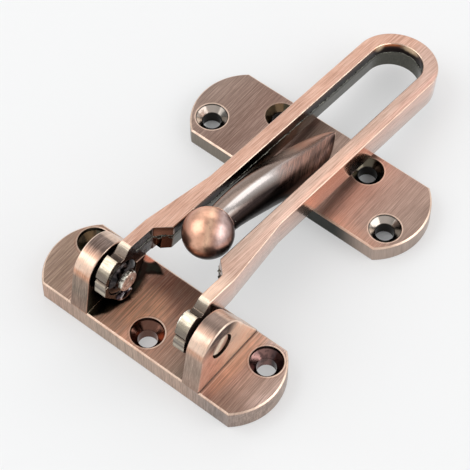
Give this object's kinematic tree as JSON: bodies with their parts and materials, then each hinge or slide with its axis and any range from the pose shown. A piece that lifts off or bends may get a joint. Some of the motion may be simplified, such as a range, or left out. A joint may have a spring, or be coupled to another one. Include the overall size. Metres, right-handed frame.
{
  "type": "swing-bar door restrictor",
  "caption": "Door restrictor with a hinged U-shaped swing bar and a plate-mounted strike whose curved horn carries a ball that rides in the bar's slot.",
  "frame": {"origin": "middle of the hinge plate's underside", "axes": "+Y from the hinge towards the strike, along the bar; +X along the plates; +Z away from the surface the plates are screwed to"},
  "size_m": [0.0772, 0.1267, 0.0304],
  "materials": {
    "copper_hinge": "brushed antique copper",
    "copper_bar": "brushed antique copper, brushed along the arms",
    "copper_strike": "brushed antique copper over dark nickel",
    "pin_metal": "polished",
    "dark_spring": "black nickel",
    "bright_ring": "nickel",
    "dark_ring": "black nylon"
  },
  "bodies": {
    "units": {"hinge_base": "copper_hinge", "strike": "copper_strike", "pivot_pin_left": "pin_metal", "pivot_pin_right": "pin_metal", "friction_washer_left": "bright_ring", "friction_washer_right": "bright_ring", "spring_washer_left": "dark_spring", "spring_washer_right": "dark_spring", "thrust_washer_left": "dark_ring", "thrust_washer_right": "dark_ring"},
    "bar": {"swing_bar": "copper_bar"}
  },
  "joints": [
    {"name": "bar_swing", "type": "hinge", "parent": "units", "child": "bar", "pos_m": [0, -0.0024, 0.0174], "axis": [1, 0, 0], "range_deg": [-1.2, 190]}
  ]
}
